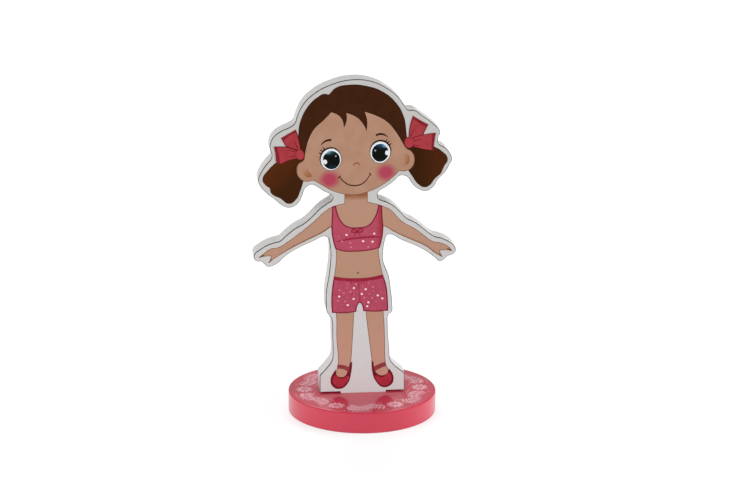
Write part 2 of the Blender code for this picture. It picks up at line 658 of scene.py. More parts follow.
@dataclass
class Softbox:
    """A rectangular soft light that looks at the doll.

    A low one is kept out of the gloss, where it would turn the base's top plain white for a low eye.
    """

    name: str
    azimuth: float
    elevation: float
    across: float
    radiance: float
    upward: float = 700.0
    distance: float = 1200.0
    in_gloss: bool = False

    def build(self) -> Object:
        """Make the light.

        Returns:
            The light object.
        """
        lamp = bpy.data.lights.new(self.name, "AREA")
        lamp.shape = "RECTANGLE"
        lamp.size = self.across * MM
        lamp.size_y = self.upward * MM
        lamp.energy = self.radiance * math.pi * lamp.size * lamp.size_y
        away = direction(self.azimuth, self.elevation)
        light = bpy.data.objects.new(self.name, lamp)
        light.location = (MIDDLE + away * self.distance) * MM
        light.rotation_euler = away.to_track_quat("Z", "Y").to_euler()
        light.visible_glossy = self.in_gloss
        bpy.context.scene.collection.objects.link(light)
        return light


@dataclass
class Studio:
    """Pale floor, even room light, three soft lights and the camera."""

    floor_width: float = 6000.0
    room_white: str = "#FFFFFF"
    room_light: float = 0.4
    wall_white: float = 0.2
    paper: StudioPaper = StudioPaper()
    softboxes: tuple[Softbox, ...] = (
        Softbox("left_softbox", azimuth=-55.0, elevation=8.0, across=1000.0, radiance=6.5),
        Softbox("right_softbox", azimuth=75.0, elevation=8.0, across=1000.0, radiance=8.4),
        Softbox(
            "overhead_softbox", azimuth=180.0, elevation=50.0, across=700.0, radiance=4.3, in_gloss=True
        ),
    )

    def build(self) -> None:
        """Make the floor, the lights, the world and the camera."""
        scene = bpy.context.scene
        scene.view_settings.view_transform = "Standard"
        Camera().build()
        for softbox in self.softboxes:
            softbox.build()
        self.light_room(scene)
        self.lay_floor(scene)

    def light_room(self, scene: Scene) -> None:
        """Light the room evenly, and show its walls as a pale grey.

        Args:
            scene: the scene that the room belongs to.
        """
        world = bpy.data.worlds.new("studio_room")
        world.use_nodes = True
        scene.world = world
        tree = world.node_tree
        tree.nodes.clear()
        fill, wall = (
            add_node(tree, "Background", {"Color": linear(self.room_white), "Strength": strength})
            for strength in (self.room_light, self.wall_white)
        )
        room = add_node(tree, "MixShader", {0: seen_directly(tree), 1: fill, 2: wall})
        add_node(tree, "OutputWorld", {"Surface": room})

    def lay_floor(self, scene: Scene) -> None:
        """Lay the floor that the base stands on.

        Args:
            scene: the scene that the floor belongs to.
        """
        sheet = bmesh.new()
        bmesh.ops.create_grid(sheet, x_segments=1, y_segments=1, size=self.floor_width * MM / 2)
        mesh = finished_mesh(sheet, "studio_floor")
        mesh.materials.append(self.paper.material())
        floor = bpy.data.objects.new("studio_floor", mesh)
        scene.collection.objects.link(floor)


@dataclass
class TurnedBase:
    """The round lacquered base: its turned body with the tenon's slot, and the printed wreath."""

    segments: int = 192
    edge_radius: float = 0.8
    edge_segments: int = 6
    hold: float = 0.3
    sharp_angle: float = 40.0
    slot_length: float = 24.2
    slot_width: float = 12.6
    slot_edge: float = 0.25
    slot_edge_segments: int = 3
    slot_land: float = 6.0
    slot_clear: float = 0.3
    ink_sunk: float = 0.02
    ink_step: float = 0.012
    ring_radius: float = 29.4
    rosettes: int = 6
    first_rosette: float = -62.0
    petals: int = 10
    petal_length: float = 3.5
    petal_width: float = 1.6
    heart_radius: float = 1.1
    seeds: int = 5
    seed_length: float = 0.66
    seed_width: float = 0.55
    seed_gap: float = 0.1
    sprig_leaves: int = 6
    sprig_sway: float = 1.6
    sprig_taper: float = 0.35
    leaf_segments: int = 12
    leaf_tip: float = 0.05
    leaf_length: float = 4.8
    leaf_width: float = 1.4
    leaf_lean: float = 52.0
    leaf_gap: float = 0.25
    stem_length: float = 3.6
    stem_width: float = 0.4
    bead: float = 0.9
    bead_ahead: float = 3.0
    lacquer: GlossLacquer = GlossLacquer("gloss_lacquer_on_turned_wood", "#C62E48", "#BE2A43")
    wreath_ink: GlossLacquer = GlossLacquer("screen_print_under_gloss", "#E4A3AE", "#DB97A3", cloud=3.0)

    def build(self) -> None:
        """Build the base's pieces."""
        body = place_piece(
            "base_body", self.body_mesh(), self.lacquer.material(), Body.BASE
        )
        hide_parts("base_disc")
        place_piece(
            "base_wreath", self.wreath_mesh(), self.wreath_ink.material(), Body.BASE
        )

    def body_mesh(self) -> Mesh:
        """Turn the disc, round its edges and sink the slot.

        Returns:
            The body's mesh.
        """
        low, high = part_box("base_disc")
        radius = (high.x - low.x) / 2
        shape = bmesh.new()
        bmesh.ops.create_circle(
            shape, cap_ends=True, segments=self.segments, radius=radius,
            matrix=Matrix.Translation(UPRIGHT * low.z),
        )
        raised = bmesh.ops.extrude_face_region(shape, geom=shape.faces[:])["geom"]
        bmesh.ops.translate(shape, vec=UPRIGHT * (high.z - low.z), verts=corners_of(raised))
        bmesh.ops.recalc_face_normals(shape, faces=shape.faces[:])
        rims = [edge for edge in shape.edges if abs(edge.verts[0].co.z - edge.verts[1].co.z) < NEAR]
        round_edges(shape, rims, self.edge_radius, self.edge_segments)
        self.sink_slot(shape, radius, high.z)
        beside = (self.edge_radius + self.hold) * MM
        hold_loops(shape, UPRIGHT, (low.z + beside, high.z - beside))
        mesh = finished_mesh(shape, "base_body")
        round_shading(mesh, self.sharp_angle, UPRIGHT)
        return mesh

    def sink_slot(self, shape: BMesh, radius: float, height: float) -> None:
        """Sink the tenon's slot into the disc's top and ease its rim.

        Args:
            shape: the disc.
            radius: the disc's radius, in metres.
            height: the top's height, in metres.
        """
        slot_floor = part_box("figure_board")[0].z - self.slot_clear * MM
        land = (self.slot_length / 2 + self.slot_land) * MM
        # The two broad faces are the largest, and of these the top is the higher one
        top = max(shape.faces, key=lambda face: face.calc_center_median().z + face.calc_area())
        bmesh.ops.inset_region(shape, faces=[top], thickness=radius - land)
        half_size = Vector((self.slot_length, self.slot_width)) * MM / 2
        for normal, reach in ((Vector((1.0, 0.0, 0.0)), half_size.x), (THROUGH, half_size.y)):
            for side in (-reach, reach):
                cut = self.flat_faces_within(shape, height, land)
                parts = {part for face in cut for part in (face, *face.edges, *face.verts)}
                bmesh.ops.bisect_plane(
                    shape, geom=list(parts), dist=NEAR, plane_co=normal * side, plane_no=normal
                )
        mouth = self.flat_faces_within(shape, height, half_size.length + NEAR)
        rim = [edge for face in mouth for edge in face.edges]
        sunk = bmesh.ops.extrude_face_region(shape, geom=mouth)["geom"]
        bmesh.ops.translate(shape, vec=UPRIGHT * (slot_floor - height), verts=corners_of(sunk))
        bmesh.ops.delete(shape, geom=mouth, context="FACES_ONLY")
        open_rim = [edge for edge in rim if edge.is_valid]
        round_edges(shape, open_rim, self.slot_edge, self.slot_edge_segments)

    def flat_faces_within(self, shape: BMesh, height: float, reach: float) -> list[BMFace]:
        """Find the faces of the top that lie near its middle.

        Args:
            shape: the base's mesh.
            height: the top's height.
            reach: how far from the middle a face's corners may lie.

        Returns:
            The faces.
        """
        return [
            face for face in shape.faces
            if all(
                abs(corner.co.z - height) < NEAR and corner.co.xy.length < reach + NEAR
                for corner in face.verts
            )
        ]

    def wreath_mesh(self) -> Mesh:
        """Print a ring of rosettes, each with a leafy sprig on either side.

        Returns:
            The wreath's mesh.
        """
        shape = bmesh.new()
        for rosette in range(self.rosettes):
            angle = self.first_rosette + rosette * 360.0 / self.rosettes
            self.add_rosette(shape, angle)
            for side in (-1.0, 1.0):
                self.add_sprig(shape, angle, side)
        mesh = finished_mesh(shape, "base_wreath")
        mesh.transform(Matrix.Translation(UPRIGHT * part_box("base_disc")[1].z))
        return mesh

    def ring_place(self, angle: float, outward: float, turn: float) -> Matrix:
        """Find a place on the ring, at the height of the base's top.

        Args:
            angle: degrees round the base.
            outward: how far outside the ring, in millimetres.
            turn: degrees that the place's own X is turned from facing outward.

        Returns:
            The place, with the top at a height of 0.
        """
        out = Matrix.Translation(((self.ring_radius + outward) * MM, 0.0, 0.0))
        round_base = Matrix.Rotation(math.radians(angle), 4, "Z")
        return round_base @ out @ Matrix.Rotation(math.radians(turn), 4, "Z")

    def add_leaf(
        self, shape: BMesh, place: Matrix, length: float, width: float,
        layer: int = 1, gap: float = 0.0,
    ) -> None:
        """Add one pointed leaf of ink that runs along its place's own X.

        Args:
            shape: the mesh that takes the leaf.
            place: where the leaf's stalk is.
            length: tip to tip, in millimetres.
            width: across its middle, in millimetres.
            layer: how many ink steps high it lies.
            gap: how far from the stalk it starts, in millimetres.
        """
        made = bmesh.ops.create_circle(
            shape, cap_ends=True, segments=self.leaf_segments, radius=1.0
        )["verts"]
        for corner in made:
            corner.co.y *= math.sqrt(max(0.0, 1.0 - corner.co.x ** 2)) + self.leaf_tip
        raised = corners_of(bmesh.ops.extrude_face_region(shape, geom=[made[0].link_faces[0]])["geom"])
        bmesh.ops.translate(shape, vec=UPRIGHT, verts=raised)
        corners = {*made, *raised}
        thick = layer * self.ink_step + self.ink_sunk
        size = Matrix.Diagonal((length * MM / 2, width * MM / 2, thick * MM, 1.0))
        start = Matrix.Translation(((gap + length / 2) * MM, 0.0, -self.ink_sunk * MM))
        bmesh.ops.transform(shape, matrix=place @ start @ size, verts=list(corners))
        faces = {item for corner in corners for item in corner.link_faces}
        bmesh.ops.recalc_face_normals(shape, faces=list(faces))

    def add_rosette(self, shape: BMesh, angle: float) -> None:
        """Add one open flower on the ring.

        Args:
            shape: the mesh that takes the flower.
            angle: its place, in degrees.
        """
        for petal in range(self.petals):
            place = self.ring_place(angle, 0.0, 360.0 * petal / self.petals)
            self.add_leaf(shape, place, self.petal_length, self.petal_width, gap=self.heart_radius)
        for seed in range(self.seeds):
            place = self.ring_place(angle, 0.0, 360.0 * seed / self.seeds)
            self.add_leaf(shape, place, self.seed_length, self.seed_width, gap=self.seed_gap)

    def add_sprig(self, shape: BMesh, angle: float, side: float) -> None:
        """Add the sprig that grows from one side of a rosette to halfway to the next.

        Args:
            shape: the mesh that takes the sprig.
            angle: the rosette's place, in degrees.
            side: 1 for the side that is counterclockwise from above, -1 for the other.
        """
        clear = math.degrees((self.heart_radius + self.petal_length) / self.ring_radius)
        reach = 180.0 / self.rosettes - clear
        along = side * 90.0
        for step in range(self.sprig_leaves):
            share = (step + 0.5) / self.sprig_leaves
            place = angle + side * (clear + reach * share)
            sway = side * self.sprig_sway * math.sin(math.pi * share)
            size = 1.0 - self.sprig_taper * share
            length = self.leaf_length * size
            stem = self.ring_place(place, sway, along)
            self.add_leaf(shape, stem, self.stem_length, self.stem_width, layer=2)
            for lean in (-self.leaf_lean, self.leaf_lean):
                leaf = self.ring_place(place, sway, along + lean)
                self.add_leaf(shape, leaf, length, self.leaf_width * size, gap=self.leaf_gap)
                bead = self.ring_place(place + side * self.bead_ahead, sway, along + 2.0 * lean)
                self.add_leaf(shape, bead, self.bead * size, self.bead * size, gap=length)


@dataclass
class FigureLaminate:
    """The cut-out figure's three layers: the thick board, the iron sheet and the face sheet."""

    front_edge: float = 0.12
    back_edge: float = 0.3
    edge_segments: int = 3
    hold: float = 0.25
    sharp_angle: float = 38.0
    flat_angle: float = 0.2
    lacquer: EdgeLacquer = EdgeLacquer()
    iron: IronRubber = IronRubber()
    # Painted light: the film's white is darker at the head and lighter toward the feet, a light gradient
    # painted into its colour.
    film: Ink = Ink(
        "laminated_white_film_painted_lighter_below", "#BEBCB9", "#CBC8C8", patch=9.0, fade=((0.0, 150.0), (0.0, 15.0))
    )

    def build(self) -> None:
        """Dress the three layers."""
        board = place_piece(
            "board_body", self.board_mesh(), self.lacquer.material(), Body.FIGURE
        )
        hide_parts("figure_board")
        self.dress("iron_sheet", self.iron.material())
        self.dress("printed_face", self.film.material())

    def dress(self, node: str, material: Material) -> None:
        """Give a CAD node its finish.

        Args:
            node: the node's name.
            material: the finish.
        """
        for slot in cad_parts[node].material_slots:
            slot.material = material
        log.info("%s: keeps its solid, finish %s", node, material.name)

    def board_mesh(self) -> Mesh:
        """Ease the board's edges as sanding before the lacquer does.

        Returns:
            The board's mesh.
        """
        shape = bmesh.new()
        shape.from_mesh(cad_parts["figure_board"].data)
        bmesh.ops.remove_doubles(shape, verts=shape.verts[:], dist=NEAR)
        bmesh.ops.dissolve_limit(
            shape, angle_limit=math.radians(self.flat_angle), verts=shape.verts[:], edges=shape.edges[:]
        )
        for facing, edge in ((-1.0, self.front_edge), (1.0, self.back_edge)):
            rim = [
                item for item in shape.edges
                if sorted(round(face.normal.y * facing, 2) for face in item.link_faces) == [0.0, 1.0]
            ]
            round_edges(shape, rim, edge, self.edge_segments)
        low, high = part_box("figure_board")
        front = low.y + (self.front_edge + self.hold) * MM
        back = high.y - (self.back_edge + self.hold) * MM
        hold_loops(shape, THROUGH, (front, back))
        mesh = finished_mesh(shape, "board_body")
        round_shading(mesh, self.sharp_angle, THROUGH)
        return mesh


@dataclass
class PrintedArea:
    """A part of the print: ink patches and pen lines that lie on the face sheet.

    Each patch has a level, and a higher level lies over a lower one.
    """

    level_step: float = 0.02
    sunk: float = 0.02
    smoothness: int = 8
    weld: float = 1e-4

    def fill(self, name: str, ink: Ink, level: int, *outlines: Outline, inset: float = 0.0) -> Object:
        """Lay closed patches of one ink.

        Args:
            name: the piece's name.
            ink: what it is printed with.
            level: how far up the stack of inks it lies.
            outlines: the patches' outlines, which don't overlap; one inside another is a hole.
            inset: how far the ink stays inside its outlines, in millimetres.

        Returns:
            The new piece.
        """
        thickness = level * self.level_step + self.sunk
        curve = self.drawn_curve("2D", outlines)
        curve.fill_mode = "BOTH"
        curve.offset = -inset
        curve.extrude = thickness / 2
        mesh = self.drawn_mesh(curve)
        mesh.transform(self.on_sheet(self.sunk - thickness / 2))
        return place_piece(name, mesh, ink.material(), Body.FIGURE)

    def line(self, name: str, ink: Ink, level: int, *paths: PenPath) -> Object:
        """Draw pen lines of one ink, each point with half the line's width there.

        Args:
            name: the piece's name.
            ink: what it is printed with.
            level: how far up the stack of inks it lies.
            paths: the lines' points as x, z and half width.

        Returns:
            The new piece.
        """
        curve = self.drawn_curve("3D", paths)
        curve.bevel_depth = 1.0
        curve.bevel_resolution = 2
        curve.use_fill_caps = True
        mesh = self.drawn_mesh(curve)
        tallest = max(corner.co.z for corner in mesh.vertices)
        mesh.transform(Matrix.Diagonal((1.0, 1.0, self.level_step / tallest, 1.0)))
        mesh.transform(self.on_sheet((1 - level) * self.level_step))
        mesh.shade_smooth()
        return place_piece(name, mesh, ink.material(), Body.FIGURE)

    def drawn_curve(self, dimensions: str, paths: tuple[Outline | PenPath, ...]) -> Curve:
        """Draw smooth lines through points.

        Args:
            dimensions: 2D for closed outlines, 3D for open pen lines.
            paths: the points as x and z, with a turn or half a line's width as the third value.

        Returns:
            The curve.
        """
        curve = bpy.data.curves.new("drawing", "CURVE")
        curve.dimensions = dimensions
        curve.resolution_u = self.smoothness
        for path in paths:
            spline = curve.splines.new("BEZIER")
            spline.bezier_points.add(len(path) - 1)
            spline.use_cyclic_u = dimensions == "2D"
            for anchor, (x, z, *third) in zip(spline.bezier_points, path):
                turn = SHARP if SHARP in third else Turn.SMOOTH
                anchor.co = (x, z, 0.0)
                anchor.handle_left_type = turn.value
                anchor.handle_right_type = turn.value
                if dimensions == "3D":
                    anchor.radius = third[0]
        return curve

    def drawn_mesh(self, curve: Curve) -> Mesh:
        """Make a drawn curve a closed mesh.

        Args:
            curve: the curve, which is used up.

        Returns:
            Its mesh, in the drawing's own axes.
        """
        drawing = bpy.data.objects.new("drawing", curve)
        mesh = bpy.data.meshes.new_from_object(drawing)
        bpy.data.objects.remove(drawing)
        bpy.data.curves.remove(curve)
        shape = bmesh.new()
        shape.from_mesh(mesh)
        bmesh.ops.remove_doubles(shape, verts=shape.verts[:], dist=self.weld)
        bmesh.ops.dissolve_degenerate(shape, dist=self.weld, edges=shape.edges[:])
        bmesh.ops.recalc_face_normals(shape, faces=shape.faces[:])
        if shape.calc_volume(signed=True) < 0.0:
            bmesh.ops.reverse_faces(shape, faces=shape.faces[:])
        shape.to_mesh(mesh)
        shape.free()
        return mesh

    def on_sheet(self, behind: float) -> Matrix:
        """Find where a drawing stands up on the face sheet.

        Args:
            behind: how far behind the sheet's front it lies, in millimetres.

        Returns:
            The turn and place, with the scale from millimetres to metres.
        """
        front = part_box("printed_face")[0].y
        upright = Matrix.Rotation(math.pi / 2, 4, "X")
        return Matrix.Translation(THROUGH * (front + behind * MM)) @ upright @ Matrix.Scale(MM, 4)


def ellipse(x: float, z: float, across: float, upward: float, lean: float = 0.0) -> Outline:
    """Return an ellipse as an outline.

    Args:
        x: its middle.
        z: its middle.
        across: half its width.
        upward: half its height.
        lean: how far it leans to the left, in degrees.

    Returns:
        Eight smooth points.
    """
    corners = 8
    turn = Matrix.Rotation(math.radians(lean), 2)
    points = []
    for step in range(corners):
        angle = -math.tau * step / corners
        offset = turn @ Vector((across * math.cos(angle), upward * math.sin(angle)))
        points.append((x + offset.x, z + offset.y))
    return tuple(points)


def arc(
    x: float, z: float, across: float, upward: float, start: float, end: float, half_width: float
) -> PenPath:
    """Return a tapered pen line along part of an ellipse.

    Args:
        x: the ellipse's middle.
        z: the ellipse's middle.
        across: half the ellipse's width.
        upward: half the ellipse's height.
        start: the angle it starts at, in degrees.
        end: the angle it ends at, in degrees.
        half_width: half the line's width in its middle.

    Returns:
        Seven points.
    """
    steps = 6
    tip = 0.25
    points = []
    for step in range(steps + 1):
        share = step / steps
        angle = math.radians(start + (end - start) * share)
        width = half_width * (tip + (1.0 - tip) * math.sin(math.pi * share))
        points.append((x + across * math.cos(angle), z + upward * math.sin(angle), width))
    return tuple(points)


@dataclass
class SkinPrint(PrintedArea):
    """Head with its ears and blush, neck, arms, bare waist, legs and feet."""

    # Painted light: below the waist the skin gets lighter toward the feet, standing in for light bounced
    # up from the floor and the base.
    skin: Ink = Ink("skin_ink", "#B18973", "#BB8C7A", patch=7.0, fade=((0.0, 62.0), (0.0, 20.0)))
    blushed: Ink = Ink(
        "skin_ink_with_blush", "#AF8771", "#A9816A", patch=7.0,
        spots=(
            Spot(-17.3, 122.8, 6.9, 6.3, "#A84255", 1.0),
            Spot(10.8, 125.9, 6.6, 6.0, "#A84255", 1.0),
        ),
    )
    outline_ink: Ink = Ink("skin_outline_ink", "#855C48", "#7E5642", patch=3.0)
    neck_ink: Ink = Ink(
        "neck_shadow_ink", "#8A5231", "#AD846D", patch=3.0, fade=((-4.0, 115.0), (-4.0, 111.6))
    )
    left_ear_ink: Ink = Ink(
        "left_ear_fold_ink", "#96603F", "#AE8069", patch=3.0, fade=((-27.0, 125.0), (-30.6, 129.4))
    )
    right_ear_ink: Ink = Ink(
        "right_ear_fold_ink", "#96603F", "#AE8069", patch=3.0, fade=((22.4, 131.2), (18.6, 131.8))
    )
    detail_ink: Ink = Ink("skin_detail_ink", "#744A34", "#6B432E", patch=1.0)
    shade_ink: Ink = Ink("arm_shade_ink", "#946A53", "#8D634C", patch=3.0)
    outline: float = 0.32
    body: Outline = (
        (-9.9, 118.0, SHARP), (-9.9, 110.5, SHARP), (-15.8, 109.0), (-20.1, 106.3), (-25.1, 101.6),
        (-32.6, 95.5), (-39.2, 90.8), (-42.5, 88.8), (-46.9, 87.9), (-50.4, 85.5), (-52.8, 83.3, SHARP),
        (-49.8, 84.0), (-46.6, 84.1, SHARP), (-47.0, 82.3), (-47.8, 80.4, SHARP), (-45.4, 82.4),
        (-41.6, 84.9), (-35.1, 88.6), (-26.5, 92.8), (-20.6, 95.7), (-16.6, 98.5, SHARP), (-15.6, 92.0),
        (-14.1, 86.0), (-14.2, 79.0), (-15.0, 72.0), (-15.5, 62.0, SHARP), (11.0, 62.0, SHARP),
        (9.6, 72.6), (7.9, 81.0), (7.4, 86.5), (8.8, 92.0), (9.8, 98.4, SHARP), (15.3, 95.2),
        (22.1, 91.6), (30.8, 87.4), (37.1, 82.7), (39.7, 81.4, SHARP), (38.6, 83.4), (38.3, 84.9, SHARP),
        (41.6, 84.9), (44.6, 84.4, SHARP), (42.7, 86.8), (38.9, 88.8), (34.2, 90.0), (29.6, 93.5),
        (25.1, 96.9), (20.2, 99.7), (16.8, 102.7), (13.7, 106.3), (9.8, 108.5), (1.75, 111.1, SHARP),
        (1.7, 118.0, SHARP),
    )
    left_leg: Outline = (
        (-15.0, 60.0, SHARP), (-13.9, 52.0), (-13.7, 40.0), (-12.9, 28.0), (-13.2, 24.6), (-14.1, 21.6),
        (-13.4, 19.0), (-10.6, 18.2), (-7.4, 20.6), (-6.3, 28.0), (-5.5, 40.0), (-4.9, 52.0),
        (-4.4, 60.0, SHARP),
    )
    right_leg: Outline = (
        (0.4, 60.0, SHARP), (1.1, 53.0), (2.0, 45.0), (3.3, 35.0), (4.4, 27.0), (5.5, 22.0), (9.0, 18.4),
        (12.2, 19.6), (12.8, 22.2), (11.6, 25.2), (11.1, 28.0), (10.9, 36.0), (10.5, 47.0), (10.0, 54.0),
        (10.4, 60.0, SHARP),
    )
    head: Outline = (
        (-30.3, 133.2), (-33.0, 131.0), (-33.7, 128.0), (-32.7, 124.4), (-29.5, 122.2),
        (-25.2, 122.6, SHARP), (-21.0, 120.0), (-14.5, 116.5), (-5.4, 114.7), (1.6, 116.0), (9.9, 120.1),
        (15.4, 124.5), (17.2, 126.5, SHARP), (20.4, 126.3), (23.6, 128.0), (25.0, 132.0), (23.8, 136.0),
        (20.6, 138.4), (18.0, 148.0), (10.0, 157.0), (-5.0, 161.0), (-20.0, 158.0), (-27.5, 150.0),
        (-29.8, 140.0),
    )
    arm_shades: tuple[PenPath, ...] = (
        (
            (-42.4, 84.8, 0.1), (-35.2, 89.0, 0.28), (-26.6, 93.2, 0.34), (-20.6, 96.2, 0.3),
            (-16.9, 98.9, 0.2),
        ),
        ((10.2, 98.5, 0.2), (15.3, 95.4, 0.3), (22.2, 91.9, 0.34), (30.9, 87.8, 0.28), (37.2, 83.2, 0.1)),
    )
    fingertips: tuple[PenPath, ...] = (
        ((-52.5, 83.5, 0.2), (-51.2, 84.2, 0.4), (-49.8, 84.9, 0.12)),
        ((-47.6, 80.7, 0.2), (-46.9, 81.7, 0.36), (-46.3, 82.8, 0.1)),
        ((44.3, 84.6, 0.2), (43.2, 85.2, 0.4), (41.8, 85.9, 0.12)),
        ((39.5, 81.7, 0.2), (38.7, 82.4, 0.36), (37.6, 83.5, 0.1)),
    )
    neck_shadow: Outline = (
        (-9.7, 117.0, SHARP), (-9.7, 111.6, SHARP), (-4.0, 112.2), (1.55, 111.9, SHARP),
        (1.5, 118.0, SHARP),
    )
    left_ear_fold: Outline = (
        (-30.2, 129.8), (-28.3, 128.8), (-27.1, 126.7), (-25.7, 124.6, SHARP), (-28.6, 124.4),
        (-30.6, 126.9),
    )
    right_ear_fold: Outline = (
        (20.8, 135.2), (22.5, 133.0), (21.9, 130.2), (18.6, 128.6, SHARP), (18.9, 131.0), (19.4, 133.4),
    )
    navel: Outline = ellipse(-3.0, 74.3, 0.45, 0.5)

    def build(self) -> None:
        """Print the skin."""
        figure = (self.body, self.left_leg, self.right_leg)
        self.fill("print_skin_outline", self.outline_ink, 1, *figure)
        self.fill("print_skin_body", self.skin, 2, *figure, inset=self.outline)
        self.line("print_arm_shades", self.shade_ink, 3, *self.arm_shades)
        self.line("print_fingertips", self.detail_ink, 4, *self.fingertips)
        self.fill("print_neck_shadow", self.neck_ink, 3, self.neck_shadow)
        self.fill("print_head_outline", self.outline_ink, 4, self.head)
        self.fill("print_head", self.blushed, 5, self.head, inset=self.outline)
        self.fill("print_left_ear_fold", self.left_ear_ink, 6, self.left_ear_fold)
        self.fill("print_right_ear_fold", self.right_ear_ink, 6, self.right_ear_fold)
        self.fill("print_navel", self.detail_ink, 3, self.navel)


@dataclass
class HairPrint(PrintedArea):
    """The cap of hair with its fringe, and the two pigtails."""

    cap_ink: Ink = Ink("hair_ink", "#3E2010", "#391D0E", patch=6.0)
    left_ink: Ink = Ink(
        "hair_ink_left_tail", "#4F260E", "#3B1F0D", patch=5.0, fade=((-46.0, 128.0), (-36.0, 118.0))
    )
    right_ink: Ink = Ink(
        "hair_ink_right_tail", "#351D0A", "#48220F", patch=5.0, fade=((26.0, 130.0), (40.0, 130.0))
    )
    outline_ink: Ink = Ink("hair_outline_ink", "#1E0D05", "#190A03", patch=3.0)
    outline: float = 0.25
    cap: Outline = (
        (-30.2, 133.0, SHARP), (-32.2, 139.0), (-32.8, 146.0), (-31.5, 153.6), (-27.7, 160.6),
        (-22.9, 165.0), (-20.2, 166.3), (-17.7, 165.9, SHARP), (-14.4, 169.2), (-7.0, 170.7),
        (0.4, 170.0), (8.3, 167.2), (15.2, 161.5), (19.3, 154.3), (20.6, 147.0), (21.0, 140.0),
        (20.5, 138.2, SHARP), (18.4, 141.8), (15.5, 146.5), (11.5, 151.3), (6.0, 154.7),
        (0.0, 157.0, SHARP), (1.2, 152.4), (1.0, 147.2, SHARP), (-0.9, 151.0), (-3.9, 154.2),
        (-9.1, 156.6, SHARP), (-8.9, 153.2), (-10.2, 149.1, SHARP), (-11.0, 152.8), (-13.0, 155.4),
        (-16.5, 157.1, SHARP), (-20.2, 153.2), (-24.9, 148.8), (-27.8, 143.3), (-29.2, 138.0),
    )
    left_tail: Outline = (
        (-43.0, 132.9, SHARP), (-47.3, 128.9), (-50.6, 123.4), (-49.2, 120.8), (-47.0, 119.1, SHARP),
        (-46.3, 116.5), (-41.6, 113.6), (-37.5, 110.9), (-34.0, 113.0), (-31.9, 117.3),
        (-30.2, 122.6, SHARP), (-29.0, 130.0, SHARP), (-30.0, 135.0, SHARP),
    )
    right_tail: Outline = (
        (20.9, 140.0, SHARP), (34.4, 138.8, SHARP), (38.6, 136.2), (41.6, 132.1), (39.9, 128.5),
        (38.2, 124.6, SHARP), (35.1, 121.9), (32.8, 118.9), (30.2, 117.8), (26.6, 119.8), (23.9, 123.6),
        (21.6, 127.1, SHARP), (20.5, 133.0, SHARP),
    )

    def build(self) -> None:
        """Print the hair."""
        self.fill("print_pigtail_outlines", self.outline_ink, 1, self.left_tail, self.right_tail)
        self.fill("print_left_pigtail", self.left_ink, 2, self.left_tail, inset=self.outline)
        self.fill("print_right_pigtail", self.right_ink, 2, self.right_tail, inset=self.outline)
        self.fill("print_hair_outline", self.outline_ink, 6, self.cap)
        self.fill("print_hair_cap", self.cap_ink, 7, self.cap, inset=self.outline)


